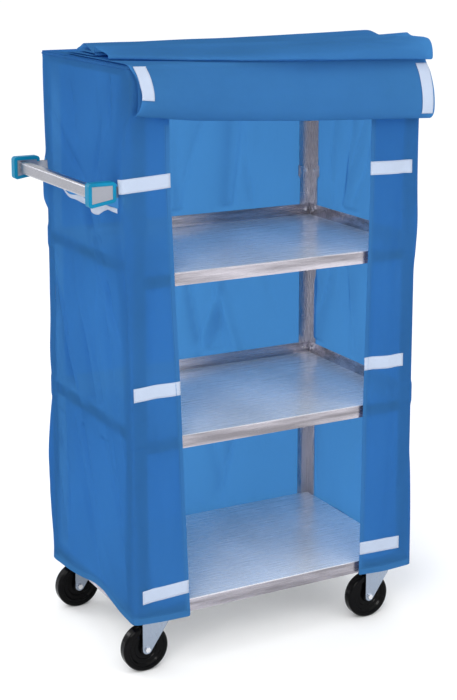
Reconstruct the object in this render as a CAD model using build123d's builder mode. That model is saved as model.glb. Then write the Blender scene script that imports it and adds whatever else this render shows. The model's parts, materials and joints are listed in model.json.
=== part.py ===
from build123d import *
import os

# Linen trolley: three stainless shelves between corner posts, on four swivel casters,
# inside a fabric cover whose door curtain is turned up over the top.
# X runs along the front, -Y is the front, +Z is up and z = 0 is the floor. Millimetres.

os.makedirs("parts", exist_ok=True)

# Driving dimensions: shelves
shelf_w = 838.0
shelf_d = 533.0
sheet_t = 1.2
lip_h = 34.0
bend_r = 2.4
bottom_z = 188.0
middle_z = 638.0
top_z = 1066.0
stiffener_w = 60.0
stiffener_h = 20.0
stiffener_end_gap = 30.0

# Corner posts: a lower angle, an upper angle nested outside it, and a splice angle outside both
lower_leg = 38.0
lower_t = 2.0
lower_post_top = 1215.0
upper_leg = 42.0
upper_t = 1.5
upper_post_bottom = 1180.0
post_top = 1585.0
splice_leg = 46.0
splice_t = 2.0
splice_bottom = 1185.0
splice_h = 33.0

# Top rails that hold the cover up
rail_leg = 25.0
rail_t = 1.5
rail_screw_setback = 7.0

# M5 frame screws, M8 caster bolts and M6 handle bolts
screw_r = 2.5
screw_head_r = 4.8
screw_head_h = 2.8
thin_nut_af = 8.0
thin_nut_h = 3.0
screw_inset = 19.0
handle_bolt_r = 3.0
handle_bolt_af = 10.0
handle_bolt_head_h = 3.5
handle_nut_h = 4.0
caster_bolt_r = 4.0
caster_bolt_af = 13.0
caster_bolt_head_h = 5.3
caster_nut_h = 6.5
hole_gap = 0.1
running_gap = 0.05
shank_show = 0.2
bolt_show = 1.0
bore_reach = 12.0
thin_wall_reach = 5.0

# Fabric cover, outside sizes
cover_half_w = 430.0
cover_half_d = 278.0
fabric_t = 1.5
cover_top_z = 1588.0
hem_z = 150.0
left_flap_top_x = -316.0
left_flap_hem_x = -267.0
right_flap_top_x = 272.0
right_flap_hem_x = 255.0
patch_w = 112.0
patch_h = 35.0
patch_t = 0.8
patch_inset = 4.0
patch_levels = (1297.0, 758.0, 226.0)
slot_half_l = 262.0
slot_z = 1277.0
slot_h = 74.0
slot_corner_r = 6.0
trim_h = 14.0
trim_setback = 20.0

# Door curtain, turned up over the front edge and bundled on top of the cover
curtain_front_y = -335.0
curtain_left_hem_z = 1470.0
curtain_right_hem_z = 1418.0
curtain_left_peak_z = 1616.0
curtain_right_peak_z = 1640.0
roll_wall = 4.0
curtain_gap_y = 1.2
curtain_gap_z = 0.3
hem_back_rise = 12.0
hem_back_run = 14.0
hem_front_run = 16.0
hem_front_rise = 26.0
front_top_drop = 20.0
bundle_slope = 40.0
bundle_left_y = (-262.0, 100.0)
bundle_right_y = (-290.0, -90.0)
strip_w = 35.0
strip_h = 80.0
strip_z = 1522.0

# Push handle on the left end
handle_left_x = -528.0
handle_right_x = -455.0
handle_top_z = 1308.0
handle_low_z = 1246.0
handle_low_right_z = 1258.0
handle_face_y = -264.0
bumper_depth = 24.0
bumper_rim = 9.0
bumper_corner_r = 9.0
bumper_edge_r = 2.0
face_recess = 2.0
bar_w = 24.0
bar_h = 32.0
bar_wall = 1.5
bar_corner_r = 6.0
bar_x = -502.0
bar_z = 1280.0
socket_depth = 17.0
socket_gap = 0.1
bar_end_gap = 0.5
arm_w = 14.0
arm_h = 26.0
arm_face_y = -256.0
arm_gap = 0.2
arm_notch_past = 10.0
arm_root = 4.0
foot_t = 3.0
foot_w = 36.0
foot_h = 60.0
foot_corner_r = 5.0
foot_bolt_gap = 44.0

# Casters
caster_x = 346.0
caster_y = 225.0
caster_trail = 31.0
wheel_r = 63.5
wheel_w = 32.0
hub_w = 35.0
hub_r = 17.0
hub_draft = 2.0
web_half = 8.0
web_step_r = 30.0
web_step = 2.0
rim_inner_r = 46.0
rim_draft = 4.0
rim_recess = 1.5
rim_recess_w = 4.0
rim_step = 1.0
tread_side = 6.0
tread_half_flat = 8.0
tread_mid_in = 1.2
tread_mid_down = 3.5
plate_l = 92.0
plate_w = 64.0
plate_t = 3.0
plate_corner_r = 8.0
plate_top_z = 162.0
plate_hole_l = 72.0
plate_hole_w = 44.0
boss_r = 26.5
boss_h = 8.0
boss_taper = 10.0
boss_bore_reach = 20.0
fork_t = 2.5
fork_inner_w = 37.0
crown_top_z = 150.2
crown_front_x = 30.0
crown_skirt = 22.0
crown_edge_r = 4.0
slant_start_x = 11.9
slant_start_z = 5.2
fork_end_r = 13.0
race_r = 30.0
race_t = 2.5
race_h = 5.3
kingpin_r = 5.0
kingpin_head_r = 9.0
kingpin_head_h = 3.0
kingpin_head_gap = 0.3
kingpin_top_gap = 0.2
axle_show = 1.5
bush_r = 8.0
channel_w = 100.0
channel_l = 500.0
channel_t = 1.5

# The origin is the middle of the whole trolley's footprint, so the shelves' own middle stands off it
mid_x = -(handle_left_x + cover_half_w) / 2
mid_y = -(curtain_front_y + cover_half_d) / 2
floor = Plane(origin=(mid_x, mid_y, 0))
corners = {
    "front_left": (-1, -1),
    "front_right": (1, -1),
    "back_left": (-1, 1),
    "back_right": (1, 1),
}


def save(part, name):
    part.part.label = name
    export_step(part.part, f"parts/{name}.step")


def facing(x, y, z, direction):
    """Plane at a point measured from the shelves' middle on the floor, looking along direction."""
    return Plane(origin=floor.from_local_coords((x, y, z)), z_dir=direction)


def across(x):
    """Plane at x whose sketch has Y to the right and Z up."""
    return Plane(origin=floor.from_local_coords((x, 0, 0)), x_dir=(0, 1, 0), z_dir=(1, 0, 0))


def along(y):
    """Plane at y whose sketch has X to the right and Z up; it looks towards the front."""
    return Plane(origin=floor.from_local_coords((0, y, 0)), x_dir=(1, 0, 0), z_dir=(0, -1, 0))


# ---- Where the frame screws go: each plane starts inside the shelf or post and looks outwards


def shelf_screw_planes(z, raised):
    """Two screws in each corner; the front lip of every shelf is turned down."""
    planes = []
    for sx, sy in corners.values():
        side_z = z + lip_h / 2 if raised else z - lip_h / 2
        end_z = side_z if sy > 0 else z - lip_h / 2
        side_x = sx * (shelf_w / 2 - sheet_t)
        end_y = sy * (shelf_d / 2 - sheet_t)
        planes.append(facing(side_x, sy * (shelf_d / 2 - screw_inset), side_z, (sx, 0, 0)))
        planes.append(facing(sx * (shelf_w / 2 - screw_inset), end_y, end_z, (0, sy, 0)))
    return planes


def splice_screw_planes():
    planes = []
    z = splice_bottom + splice_h / 2
    for sx, sy in corners.values():
        planes.append(facing(sx * shelf_w / 2, sy * (shelf_d / 2 - screw_inset), z, (sx, 0, 0)))
        planes.append(facing(sx * (shelf_w / 2 - screw_inset), sy * shelf_d / 2, z, (0, sy, 0)))
    return planes


def rail_screw_planes():
    planes = []
    z = post_top - rail_leg / 2 - rail_t
    inside_x = shelf_w / 2 + lower_t - rail_t
    inside_y = shelf_d / 2 + lower_t - rail_t
    side_screw_y = inside_y - rail_leg - rail_screw_setback
    for sx, sy in corners.values():
        planes.append(facing(sx * inside_x, sy * side_screw_y, z, (sx, 0, 0)))
        planes.append(facing(sx * (inside_x - screw_inset), sy * inside_y, z, (0, sy, 0)))
    return planes


shelf_screws = (
    shelf_screw_planes(bottom_z, False)
    + shelf_screw_planes(middle_z, True)
    + shelf_screw_planes(top_z, True)
)
splice_screws = splice_screw_planes()
rail_screws = rail_screw_planes()


def drill(planes, radius, reach=bore_reach):
    """Cut round holes along each plane's direction through the part being built."""
    with BuildSketch(*planes) as holes:
        Circle(radius + hole_gap)
    extrude(holes.sketch, amount=reach, both=True, mode=Mode.SUBTRACT)


# ---- Shelves


def bent_sheet(path, plane, half_length):
    """Folded sheet: the path's bends are rounded, and it runs to both sides of the plane."""
    with BuildSketch(plane) as section:
        with BuildLine():
            FilletPolyline(*path, radius=bend_r)
        trace(line_width=sheet_t)
    extrude(section.sketch, amount=half_length, both=True)


def build_shelf(name, z, raised):
    mid = z - sheet_t / 2
    half_w = (shelf_w - sheet_t) / 2
    half_d = (shelf_d - sheet_t) / 2
    side_end = z + lip_h if raised else z - lip_h
    corner = bend_r + sheet_t
    with BuildPart() as shelf:
        front_to_back = [(-half_d, z - lip_h), (-half_d, mid), (half_d, mid), (half_d, side_end)]
        bent_sheet(front_to_back, across(0), shelf_w / 2 - corner)
        side_to_side = [(-half_w, side_end), (-half_w, mid), (half_w, mid), (half_w, side_end)]
        bent_sheet(side_to_side, along(0), shelf_d / 2 - corner)
        drill(shelf_screw_planes(z, raised), screw_r)
    save(shelf, name)


def build_stiffener(name, z):
    """Channel under a shelf, open side up."""
    with BuildPart() as channel:
        with BuildSketch(across(0)):
            with Locations((0, z - sheet_t - stiffener_h / 2)):
                Rectangle(stiffener_w, stiffener_h)
            with Locations((0, z - sheet_t - stiffener_h / 2 + sheet_t)):
                Rectangle(stiffener_w - 2 * sheet_t, stiffener_h, mode=Mode.SUBTRACT)
        extrude(amount=shelf_w / 2 - stiffener_end_gap, both=True)
    save(channel, name)


build_shelf("bottom_shelf", bottom_z, False)
build_shelf("middle_shelf", middle_z, True)
build_shelf("top_shelf", top_z, True)
build_stiffener("middle_shelf_channel", middle_z)
build_stiffener("top_shelf_channel", top_z)


# ---- Corner posts, splices and top rails


def angle_section(sx, sy, leg, thickness, inset):
    """L section in a floor sketch; inset is how far its inside faces stand out from the shelf."""
    out_x = shelf_w / 2 + inset + thickness
    out_y = shelf_d / 2 + inset + thickness
    with Locations((sx * (out_x - leg / 2), sy * (out_y - thickness / 2))):
        Rectangle(leg, thickness)
    with Locations((sx * (out_x - thickness / 2), sy * (out_y - leg / 2))):
        Rectangle(thickness, leg)


def build_post(name, sx, sy, leg, thickness, inset, z_low, z_high, holes):
    with BuildPart() as post:
        with BuildSketch(floor.offset(z_low)):
            angle_section(sx, sy, leg, thickness, inset)
        extrude(amount=z_high - z_low)
        for planes, radius in holes:
            drill(planes, radius)
    save(post, name)


def foot_bolt_planes():
    """Handle bolts, two in each foot, through the left flange of the upper posts."""
    planes = []
    for sy in (-1, 1):
        y = sy * (-arm_face_y - arm_w / 2)
        for dz in (-foot_bolt_gap / 2, foot_bolt_gap / 2):
            x = -(shelf_w / 2 + lower_t)
            planes.append(facing(x, y, bar_z + dz, (-1, 0, 0)))
    return planes


foot_bolts = foot_bolt_planes()

for corner_name, (side_x, side_y) in corners.items():
    lower_holes = [(shelf_screws, screw_r), (splice_screws, screw_r)]
    upper_holes = [(splice_screws, screw_r), (rail_screws, screw_r)]
    if side_x < 0:
        upper_holes.append((foot_bolts, handle_bolt_r))
    build_post(
        f"lower_post_{corner_name}", side_x, side_y, lower_leg, lower_t, 0.0,
        bottom_z - lip_h, lower_post_top, lower_holes,
    )
    build_post(
        f"upper_post_{corner_name}", side_x, side_y, upper_leg, upper_t, lower_t,
        upper_post_bottom, post_top, upper_holes,
    )

with BuildPart() as splices:
    with BuildSketch(floor.offset(splice_bottom)):
        for side_x, side_y in corners.values():
            angle_section(side_x, side_y, splice_leg, splice_t, lower_t + upper_t)
    extrude(amount=splice_h)
    drill(splice_screws, screw_r)
save(splices, "splice_angles")


def build_rail(name, centre, size, flange_centre, flange_size):
    """Angle rail: a flat flange on top and a flange hanging against the posts."""
    with BuildPart() as rail:
        with BuildSketch(floor.offset(post_top - rail_t)):
            with Locations(centre):
                Rectangle(*size)
        extrude(amount=rail_t)
        with BuildSketch(floor.offset(post_top - rail_t)):
            with Locations(flange_centre):
                Rectangle(*flange_size)
        extrude(amount=-(rail_leg - rail_t))
        drill(rail_screws, screw_r)
    save(rail, name)


rail_out_x = shelf_w / 2 + lower_t
rail_out_y = shelf_d / 2 + lower_t
side_rail_l = 2 * (rail_out_y - rail_leg)
for side, sign in (("front", -1), ("back", 1)):
    build_rail(
        f"top_rail_{side}",
        (0, sign * (rail_out_y - rail_leg / 2)), (2 * rail_out_x, rail_leg),
        (0, sign * (rail_out_y - rail_t / 2)), (2 * rail_out_x, rail_t),
    )
for side, sign in (("left", -1), ("right", 1)):
    build_rail(
        f"top_rail_{side}",
        (sign * (rail_out_x - rail_leg / 2), 0), (rail_leg, side_rail_l),
        (sign * (rail_out_x - rail_t / 2), 0), (rail_t, side_rail_l),
    )


# ---- Frame screws and nuts


def screw_bodies(planes, grip):
    """Pan heads inside the planes, shanks along them, long enough for a thin nut past the grip."""
    with BuildSketch(*planes) as shanks:
        Circle(screw_r)
    extrude(shanks.sketch, amount=grip + thin_nut_h)
    with BuildSketch(*planes) as heads:
        Circle(screw_head_r)
    extrude(heads.sketch, amount=-screw_head_h)


def hex_ring(planes, across_flats, bore_r, height):
    """Hexagon with a bore that stands on each plane."""
    with BuildSketch(*planes) as rings:
        RegularPolygon(radius=across_flats / 2, side_count=6, major_radius=False)
        Circle(bore_r, mode=Mode.SUBTRACT)
    extrude(rings.sketch, amount=height)


def lifted(planes, height):
    return [plane.offset(height) for plane in planes]


shelf_grip = sheet_t + lower_t
splice_grip = lower_t + upper_t + splice_t
rail_grip = rail_t + upper_t
grips = ((shelf_screws, shelf_grip), (splice_screws, splice_grip), (rail_screws, rail_grip))
with BuildPart() as frame_screws:
    for planes, grip in grips:
        screw_bodies(planes, grip)
save(frame_screws, "frame_screws")
with BuildPart() as frame_nuts:
    for planes, grip in grips:
        hex_ring(lifted(planes, grip), thin_nut_af, screw_r + running_gap, thin_nut_h - shank_show)
save(frame_nuts, "frame_nuts")


# ---- Push handle


# Outline of the end bumper: level top, upright ends, and a bottom that rises to the trolley
handle_outline = (
    (handle_left_x, handle_top_z),
    (handle_left_x, handle_low_z),
    (handle_right_x, handle_low_right_z),
    (handle_right_x, handle_top_z),
)


def build_handle_end(side, sign):
    """sign is -1 at the front and 1 at the back; the two ends mirror each other."""
    about = Plane(origin=floor.origin, z_dir=(0, 1, 0))
    with BuildPart() as bumper:
        with BuildSketch(along(handle_face_y)) as outline:
            Polygon(*handle_outline, align=None)
            fillet(outline.vertices(), bumper_corner_r)
            offset(amount=-bumper_rim, mode=Mode.SUBTRACT)
        extrude(amount=-bumper_depth)
        rim_edges = bumper.faces().sort_by(Axis.Y)[0].edges()
        fillet(rim_edges, bumper_edge_r)
        with BuildSketch(along(arm_face_y - arm_gap)):
            with Locations(((handle_right_x + bar_x) / 2, bar_z)):
                Rectangle(handle_right_x - bar_x + arm_notch_past, arm_h + 2 * arm_gap)
        extrude(amount=-bumper_depth, mode=Mode.SUBTRACT)
        if sign > 0:
            mirror(about=about, mode=Mode.REPLACE)
    save(bumper, f"handle_bumper_{side}")

    foot_x = -(shelf_w / 2 + lower_t + upper_t + foot_t)
    arm_x = handle_right_x - bumper_rim - arm_root
    with BuildPart() as bracket:
        with BuildSketch(along(handle_face_y + face_recess)) as outline:
            Polygon(*handle_outline, align=None)
            fillet(outline.vertices(), bumper_corner_r)
            offset(amount=-bumper_rim - socket_gap, mode=Mode.REPLACE)
        extrude(amount=-bumper_depth)
        with BuildSketch(along(arm_face_y)):
            with Locations(((foot_x + arm_x) / 2, bar_z)):
                Rectangle(foot_x - arm_x, arm_h)
        extrude(amount=-arm_w)
        with BuildSketch(across(foot_x)):
            with Locations((arm_face_y + arm_w / 2, bar_z)):
                RectangleRounded(foot_w, foot_h, foot_corner_r)
        extrude(amount=foot_t)
        with BuildSketch(along(handle_face_y + face_recess + bumper_depth)):
            with Locations((bar_x, bar_z)):
                RectangleRounded(
                    bar_w + 2 * socket_gap, bar_h + 2 * socket_gap, bar_corner_r + socket_gap
                )
        extrude(amount=socket_depth, mode=Mode.SUBTRACT)
        drill(foot_bolts, handle_bolt_r)
        if sign > 0:
            mirror(about=about, mode=Mode.REPLACE)
    save(bracket, f"handle_bracket_{side}")


build_handle_end("front", -1)
build_handle_end("back", 1)

bar_half_l = -(handle_face_y + face_recess + bumper_depth) + socket_depth - bar_end_gap
with BuildPart() as handle_bar:
    with BuildSketch(along(0)):
        with Locations((bar_x, bar_z)):
            RectangleRounded(bar_w, bar_h, bar_corner_r)
            RectangleRounded(
                bar_w - 2 * bar_wall, bar_h - 2 * bar_wall, bar_corner_r - bar_wall, mode=Mode.SUBTRACT
            )
    extrude(amount=bar_half_l, both=True)
save(handle_bar, "handle_bar")

foot_grip = upper_t + foot_t
with BuildPart() as handle_bolts:
    with BuildSketch(*lifted(foot_bolts, foot_grip)):
        RegularPolygon(radius=handle_bolt_af / 2, side_count=6, major_radius=False)
    extrude(amount=handle_bolt_head_h)
    with BuildSketch(*lifted(foot_bolts, foot_grip)):
        Circle(handle_bolt_r)
    extrude(amount=-(foot_grip + handle_nut_h + bolt_show))
    nut_seats = lifted(foot_bolts, -handle_nut_h)
    hex_ring(nut_seats, handle_bolt_af, handle_bolt_r + running_gap, handle_nut_h)
save(handle_bolts, "handle_bolts")


# ---- Fabric cover: plain panels of the true outside size

side_top_z = cover_top_z - fabric_t
with BuildPart() as cover_left:
    with BuildSketch(across(-cover_half_w)):
        with Locations((0, (side_top_z + hem_z) / 2)):
            Rectangle(2 * cover_half_d, side_top_z - hem_z)
        with Locations((0, slot_z)):
            RectangleRounded(2 * slot_half_l, slot_h, slot_corner_r, mode=Mode.SUBTRACT)
    extrude(amount=fabric_t)
save(cover_left, "cover_left")

with BuildPart() as cover_right:
    with BuildSketch(across(cover_half_w - fabric_t)):
        with Locations((0, (side_top_z + hem_z) / 2)):
            Rectangle(2 * cover_half_d, side_top_z - hem_z)
    extrude(amount=fabric_t)
save(cover_right, "cover_right")

with BuildPart() as cover_back:
    with BuildSketch(along(cover_half_d)):
        with Locations((0, (side_top_z + hem_z) / 2)):
            Rectangle(2 * (cover_half_w - fabric_t), side_top_z - hem_z)
    extrude(amount=fabric_t)
save(cover_back, "cover_back")

with BuildPart() as cover_top:
    with BuildSketch(floor.offset(side_top_z)):
        Rectangle(2 * cover_half_w, 2 * cover_half_d)
    extrude(amount=fabric_t)
save(cover_top, "cover_top")


def build_flap(name, outer_x, top_x, hem_x):
    """Narrow front panel beside the door, with a slanted inner edge."""
    with BuildPart() as flap:
        with BuildSketch(along(-cover_half_d)):
            with BuildLine():
                Polyline(
                    (outer_x, hem_z), (hem_x, hem_z), (top_x, side_top_z), (outer_x, side_top_z),
                    close=True,
                )
            make_face()
        extrude(amount=-fabric_t)
    save(flap, name)


flap_outer_x = cover_half_w - fabric_t
build_flap("front_flap_left", -flap_outer_x, left_flap_top_x, left_flap_hem_x)
build_flap("front_flap_right", flap_outer_x, right_flap_top_x, right_flap_hem_x)


def edge_x(z, top_x, hem_x):
    """Where a flap's inner edge is at height z."""
    return hem_x + (top_x - hem_x) * (z - hem_z) / (side_top_z - hem_z)


with BuildPart() as flap_patches:
    with BuildSketch(along(-cover_half_d)):
        for z in patch_levels:
            left_edge = edge_x(z + patch_h / 2, left_flap_top_x, left_flap_hem_x)
            right_edge = edge_x(z, right_flap_top_x, right_flap_hem_x)
            with Locations((left_edge - patch_w / 2, z), (right_edge + patch_w / 2 + patch_inset, z)):
                Rectangle(patch_w, patch_h)
    extrude(amount=patch_t)
save(flap_patches, "flap_patches")

with BuildPart() as slot_trim:
    with BuildSketch(across(-cover_half_w)):
        with Locations((0, slot_z - slot_h / 2 - trim_h / 2)):
            Rectangle(2 * (slot_half_l - trim_setback), trim_h)
    extrude(amount=-patch_t)
save(slot_trim, "handle_slot_trim")


# ---- Door curtain: a doubled front fold and a bundle on top, one closed solid


def curtain_section(x, hem, peak, bundle_y):
    """Section of the turned-up curtain at x: the front fold and the bundle that lies on the top."""
    behind_y = -cover_half_d - curtain_gap_y
    on_top_z = cover_top_z + curtain_gap_z
    with BuildSketch(across(x)) as section:
        Polygon(
            (behind_y, hem + hem_back_rise),
            (behind_y - hem_back_run, hem),
            (curtain_front_y + hem_front_run, hem),
            (curtain_front_y, hem + hem_front_rise),
            (curtain_front_y, cover_top_z - front_top_drop),
            (bundle_y[0], peak),
            (bundle_y[1], peak),
            (bundle_y[1] + bundle_slope, on_top_z),
            (behind_y, on_top_z),
            align=None,
        )
    return section.sketch


left_end = curtain_section(-cover_half_w, curtain_left_hem_z, curtain_left_peak_z, bundle_left_y)
right_end = curtain_section(cover_half_w, curtain_right_hem_z, curtain_right_peak_z, bundle_right_y)
with BuildPart() as curtain:
    loft([left_end, right_end], ruled=True)
    end_faces = curtain.faces().sort_by(Axis.X)
    offset(amount=-roll_wall, openings=[end_faces[0], end_faces[-1]])
save(curtain, "door_curtain")

with BuildPart() as curtain_strips:
    with BuildSketch(along(curtain_front_y)):
        with Locations((-cover_half_w + strip_w / 2, strip_z), (cover_half_w - strip_w / 2, strip_z)):
            Rectangle(strip_w, strip_h)
    extrude(amount=patch_t)
save(curtain_strips, "curtain_strips")


# ---- Casters and the channels they are bolted to


def caster_base(sx, sy, z=0.0):
    """Level plane on a caster's swivel axis."""
    return Plane(origin=floor.from_local_coords((sx * caster_x, sy * caster_y, z)))


def plate_bolt_planes(sx, sy, z):
    half_l = plate_hole_l / 2
    half_w = plate_hole_w / 2
    spots = [(sx * caster_x + i * half_l, sy * caster_y + j * half_w) for i in (-1, 1) for j in (-1, 1)]
    return [Plane(origin=floor.from_local_coords((x, y, z))) for x, y in spots]


def all_plate_bolts(z):
    return [plane for sx, sy in corners.values() for plane in plate_bolt_planes(sx, sy, z)]


channel_h = bottom_z - sheet_t - plate_top_z
for side, sign in (("left", -1), ("right", 1)):
    with BuildPart() as caster_channel:
        with BuildSketch(along(0)):
            with Locations((sign * caster_x, plate_top_z + channel_h / 2)):
                Rectangle(channel_w, channel_h)
            with Locations((sign * caster_x, plate_top_z + channel_h / 2 + channel_t)):
                Rectangle(channel_w - 2 * channel_t, channel_h, mode=Mode.SUBTRACT)
        extrude(amount=channel_l / 2, both=True)
        drill(all_plate_bolts(plate_top_z), caster_bolt_r, thin_wall_reach)
    save(caster_channel, f"caster_channel_{side}")

with BuildPart() as caster_bolts:
    with BuildSketch(*all_plate_bolts(plate_top_z - plate_t)):
        RegularPolygon(radius=caster_bolt_af / 2, side_count=6, major_radius=False)
    extrude(amount=-caster_bolt_head_h)
    with BuildSketch(*all_plate_bolts(plate_top_z - plate_t)):
        Circle(caster_bolt_r)
    extrude(amount=plate_t + channel_t + caster_nut_h + bolt_show)
    nut_seats = all_plate_bolts(plate_top_z + channel_t)
    hex_ring(nut_seats, caster_bolt_af, caster_bolt_r + running_gap, caster_nut_h)
save(caster_bolts, "caster_bolts")

with BuildPart() as kingpins:
    pin_low_z = crown_top_z - fork_t - kingpin_head_gap
    with BuildSketch(*[caster_base(sx, sy, pin_low_z) for sx, sy in corners.values()]):
        Circle(kingpin_r)
    extrude(amount=plate_top_z - kingpin_top_gap - pin_low_z)
    with BuildSketch(*[caster_base(sx, sy, pin_low_z) for sx, sy in corners.values()]):
        Circle(kingpin_head_r)
    extrude(amount=-kingpin_head_h)
save(kingpins, "caster_kingpins")


def build_top_plate(name, sx, sy):
    with BuildPart() as plate:
        with BuildSketch(caster_base(sx, sy, plate_top_z)):
            RectangleRounded(plate_l, plate_w, plate_corner_r)
        extrude(amount=-plate_t)
        with BuildSketch(caster_base(sx, sy, plate_top_z - plate_t)):
            Circle(boss_r)
        extrude(amount=-boss_h, taper=boss_taper)
        drill([caster_base(sx, sy, plate_top_z)], kingpin_r, boss_bore_reach)
        drill(plate_bolt_planes(sx, sy, plate_top_z), caster_bolt_r, thin_wall_reach)
    save(plate, name)


def side_view(sx, sy, y):
    """Plane in a caster's side view: X from the swivel axis and Z from the floor."""
    origin = floor.from_local_coords((sx * caster_x, sy * caster_y + y, 0))
    return Plane(origin=origin, x_dir=(1, 0, 0), z_dir=(0, -1, 0))


def build_fork(name, sx, sy):
    """Pressed fork: crown with a raised race, two legs upright at the back and slanted in front."""
    back_x = -caster_trail - fork_end_r
    leg_out = fork_inner_w / 2 + fork_t
    with BuildPart() as fork:
        with BuildSketch(side_view(sx, sy, 0)):
            with BuildLine():
                down = Line((back_x, crown_top_z), (back_x, wheel_r))
                slant_start = (-caster_trail + slant_start_x, wheel_r - slant_start_z)
                end = RadiusArc(down @ 1, slant_start, -fork_end_r)
                slant = Line(end @ 1, (crown_front_x, crown_top_z - crown_skirt))
                Polyline(slant @ 1, (crown_front_x, crown_top_z), down @ 0)
            make_face()
        extrude(amount=leg_out, both=True)
        crown_edges = fork.faces().sort_by(Axis.Z)[-1].edges().filter_by(Axis.X)
        fillet(crown_edges, crown_edge_r)
        with BuildSketch(side_view(sx, sy, 0)):
            with Locations((0, (crown_top_z - fork_t) / 2)):
                Rectangle(4 * wheel_r, crown_top_z - fork_t)
        extrude(amount=fork_inner_w / 2, both=True, mode=Mode.SUBTRACT)
        with BuildSketch(caster_base(sx, sy, crown_top_z - fork_t)):
            Circle(race_r)
        extrude(amount=fork_t + race_h)
        with BuildSketch(caster_base(sx, sy, crown_top_z)):
            Circle(race_r - race_t)
        extrude(amount=race_h, mode=Mode.SUBTRACT)
        with BuildSketch(caster_base(sx, sy, crown_top_z)):
            Circle(kingpin_r + running_gap)
        extrude(amount=-2 * fork_t, mode=Mode.SUBTRACT)
        with BuildSketch(side_view(sx, sy, 0)):
            with Locations((-caster_trail, wheel_r)):
                Circle(caster_bolt_r + hole_gap)
        extrude(amount=2 * leg_out, both=True, mode=Mode.SUBTRACT)
    save(fork, name)


def build_axle(name, sx, sy):
    """Axle bolt with its head towards the front, and its nut, as two solids."""
    leg_out = fork_inner_w / 2 + fork_t
    head = side_view(sx, sy, -leg_out)
    nut = side_view(sx, sy, leg_out + caster_nut_h)
    with BuildPart() as axle:
        with BuildSketch(head):
            with Locations((-caster_trail, wheel_r)):
                RegularPolygon(radius=caster_bolt_af / 2, side_count=6, major_radius=False)
        extrude(amount=caster_bolt_head_h)
        with BuildSketch(head):
            with Locations((-caster_trail, wheel_r)):
                Circle(caster_bolt_r)
        extrude(amount=-(2 * leg_out + caster_nut_h + axle_show))
        with BuildSketch(nut):
            with Locations((-caster_trail, wheel_r)):
                RegularPolygon(radius=caster_bolt_af / 2, side_count=6, major_radius=False)
                Circle(caster_bolt_r + running_gap, mode=Mode.SUBTRACT)
        extrude(amount=caster_nut_h)
    save(axle, name)


def build_bush(name, sx, sy):
    with BuildPart() as bush:
        with BuildSketch(side_view(sx, sy, 0)):
            with Locations((-caster_trail, wheel_r)):
                Circle(bush_r)
                Circle(caster_bolt_r + hole_gap, mode=Mode.SUBTRACT)
        extrude(amount=fork_inner_w / 2, both=True)
    save(bush, name)


def build_wheel(name, sx, sy):
    """Moulded wheel with a thick rim, a dished web and a round hub, turned about its axle."""
    bore_r = bush_r + running_gap
    half_w = wheel_w / 2
    rim_half = half_w - rim_recess
    web_out = web_half + web_step
    side_r = wheel_r - tread_side
    tread_mid = (wheel_r - tread_mid_in, half_w - tread_mid_down)
    tread_edge = (wheel_r, tread_half_flat)
    with BuildPart() as wheel:
        origin = floor.from_local_coords((sx * caster_x - caster_trail, sy * caster_y, wheel_r))
        with BuildSketch(Plane(origin=origin, x_dir=(1, 0, 0), z_dir=(0, 0, 1))):
            with BuildLine():
                Polyline(
                    (bore_r, 0),
                    (bore_r, hub_w / 2),
                    (hub_r, hub_w / 2),
                    (hub_r + hub_draft, web_half),
                    (web_step_r, web_half),
                    (web_step_r + web_step, web_out),
                    (rim_inner_r - rim_draft, web_out),
                    (rim_inner_r, rim_half),
                    (rim_inner_r + rim_recess_w, rim_half),
                    (rim_inner_r + rim_recess_w + rim_step, half_w),
                    (side_r, half_w),
                )
                ThreePointArc((side_r, half_w), tread_mid, tread_edge)
                Polyline(tread_edge, (wheel_r, 0), (bore_r, 0))
            make_face()
            mirror(about=Plane.XZ)
        revolve(axis=Axis(origin, (0, 1, 0)))
    save(wheel, name)


for corner_name, (side_x, side_y) in corners.items():
    build_top_plate(f"caster_plate_{corner_name}", side_x, side_y)
    build_fork(f"caster_fork_{corner_name}", side_x, side_y)
    build_axle(f"caster_axle_{corner_name}", side_x, side_y)
    build_bush(f"wheel_bush_{corner_name}", side_x, side_y)
    build_wheel(f"caster_wheel_{corner_name}", side_x, side_y)
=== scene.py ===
import json
import math
import random

import bpy
import numpy as np
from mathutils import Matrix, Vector, noise
from mathutils.bvhtree import BVHTree


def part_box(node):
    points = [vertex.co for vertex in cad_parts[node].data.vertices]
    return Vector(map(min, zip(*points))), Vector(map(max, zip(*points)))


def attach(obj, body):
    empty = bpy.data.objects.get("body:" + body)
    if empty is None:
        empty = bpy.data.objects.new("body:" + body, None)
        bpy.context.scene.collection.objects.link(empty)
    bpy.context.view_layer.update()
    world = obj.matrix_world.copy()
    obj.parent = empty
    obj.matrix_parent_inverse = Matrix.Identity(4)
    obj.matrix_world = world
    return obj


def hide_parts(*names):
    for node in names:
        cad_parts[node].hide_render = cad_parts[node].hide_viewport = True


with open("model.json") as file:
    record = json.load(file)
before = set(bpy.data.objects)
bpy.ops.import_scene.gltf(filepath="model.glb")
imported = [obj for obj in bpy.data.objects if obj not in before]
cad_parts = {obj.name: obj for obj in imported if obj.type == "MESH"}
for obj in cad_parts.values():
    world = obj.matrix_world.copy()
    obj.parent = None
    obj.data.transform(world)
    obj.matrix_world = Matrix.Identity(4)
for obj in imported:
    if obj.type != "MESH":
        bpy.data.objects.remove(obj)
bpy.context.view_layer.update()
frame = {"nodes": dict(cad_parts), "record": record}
scene = bpy.context.scene

# ---- Places read from the frame, in metres; local points are measured from the shelves' centre

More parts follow.
